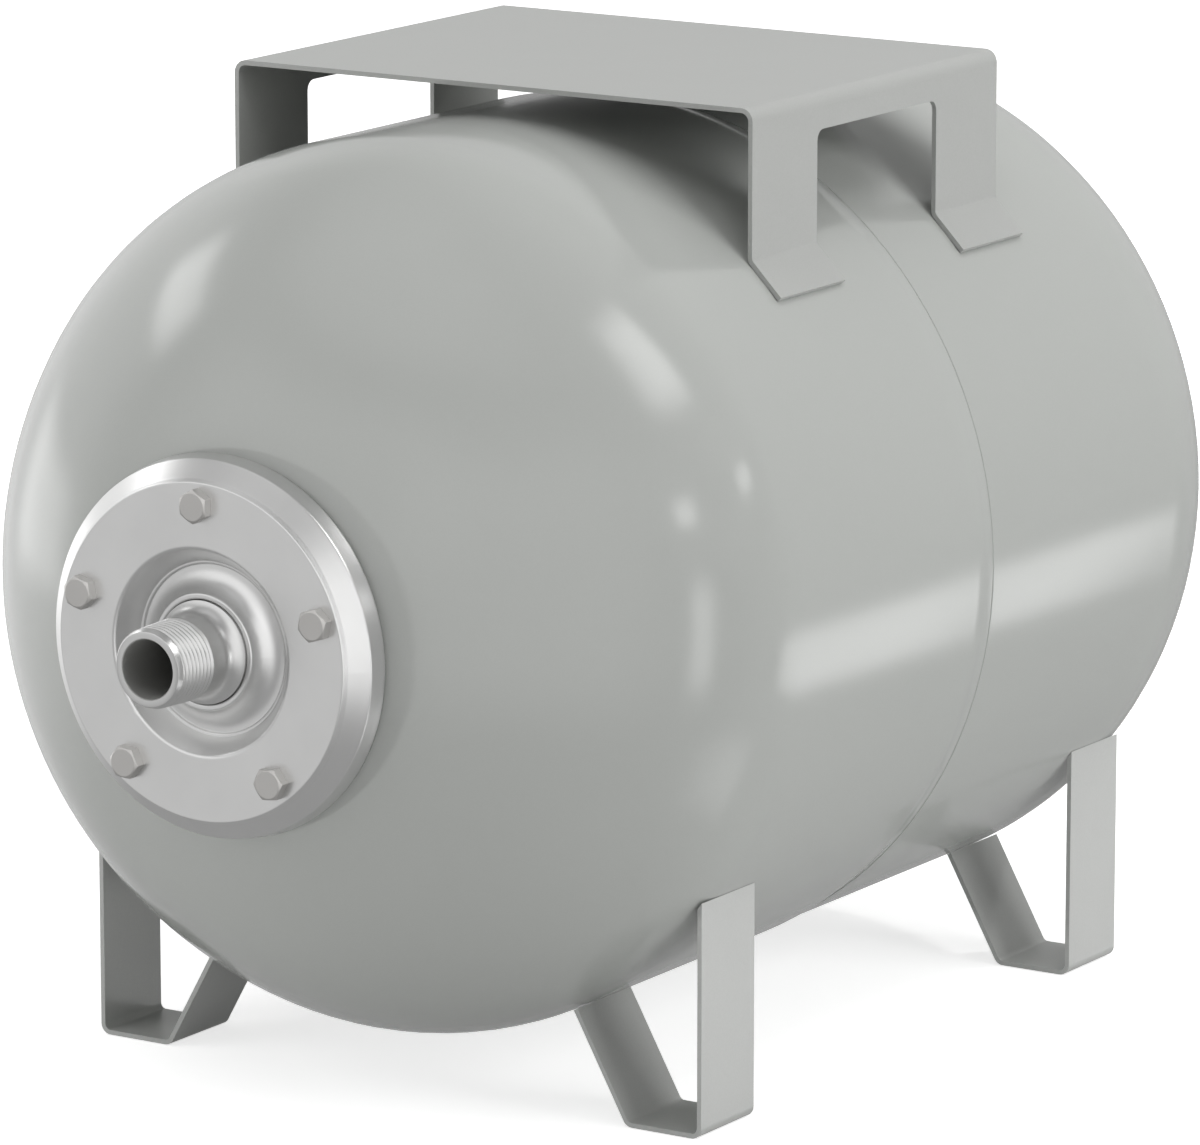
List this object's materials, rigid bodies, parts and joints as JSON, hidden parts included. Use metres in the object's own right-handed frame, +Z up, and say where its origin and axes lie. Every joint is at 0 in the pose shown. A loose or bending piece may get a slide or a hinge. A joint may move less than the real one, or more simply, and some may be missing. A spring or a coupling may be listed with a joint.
{
  "type": "expansion_tank",
  "caption": "Horizontal steel expansion tank with a bladder, a bolted cover with a threaded nipple, a pump bracket on top, bent strip feet and an air valve at the rear",
  "frame": {"origin": "on the floor plane under the soles of the feet, below the middle of the whole length and width", "axes": "X points right seen from the cover, Y runs along the tank from the cover to the air valve, Z points up"},
  "size_m": [0.3676, 0.667, 0.4045],
  "materials": {
    "tank_paint": "satin light grey powder coat",
    "bracket_paint": "satin light grey powder coat",
    "zinc_plate": "bright zinc plating",
    "bolt_zinc": "dull zinc plating",
    "plain_steel": "plain steel",
    "bladder_rubber": "matte black rubber",
    "seal_rubber": "matte black rubber",
    "brass": "turned brass",
    "black_plastic": "moulded black plastic"
  },
  "bodies": {
    "root": {"front_shell": "tank_paint", "rear_shell": "tank_paint", "flange_cover": "zinc_plate", "connection_nipple": "zinc_plate", "flange_bolts": "bolt_zinc", "pump_bracket": "bracket_paint", "foot_front_left": "bracket_paint", "foot_front_right": "bracket_paint", "foot_rear_left": "bracket_paint", "foot_rear_right": "bracket_paint", "neck_ring": "plain_steel", "bladder": "bladder_rubber", "valve_boss": "tank_paint", "valve_washer": "seal_rubber", "valve_stem": "brass", "valve_core": "brass", "valve_dust_cap": "black_plastic", "valve_cap_seal": "seal_rubber", "valve_cover": "black_plastic"}
  },
  "joints": []
}
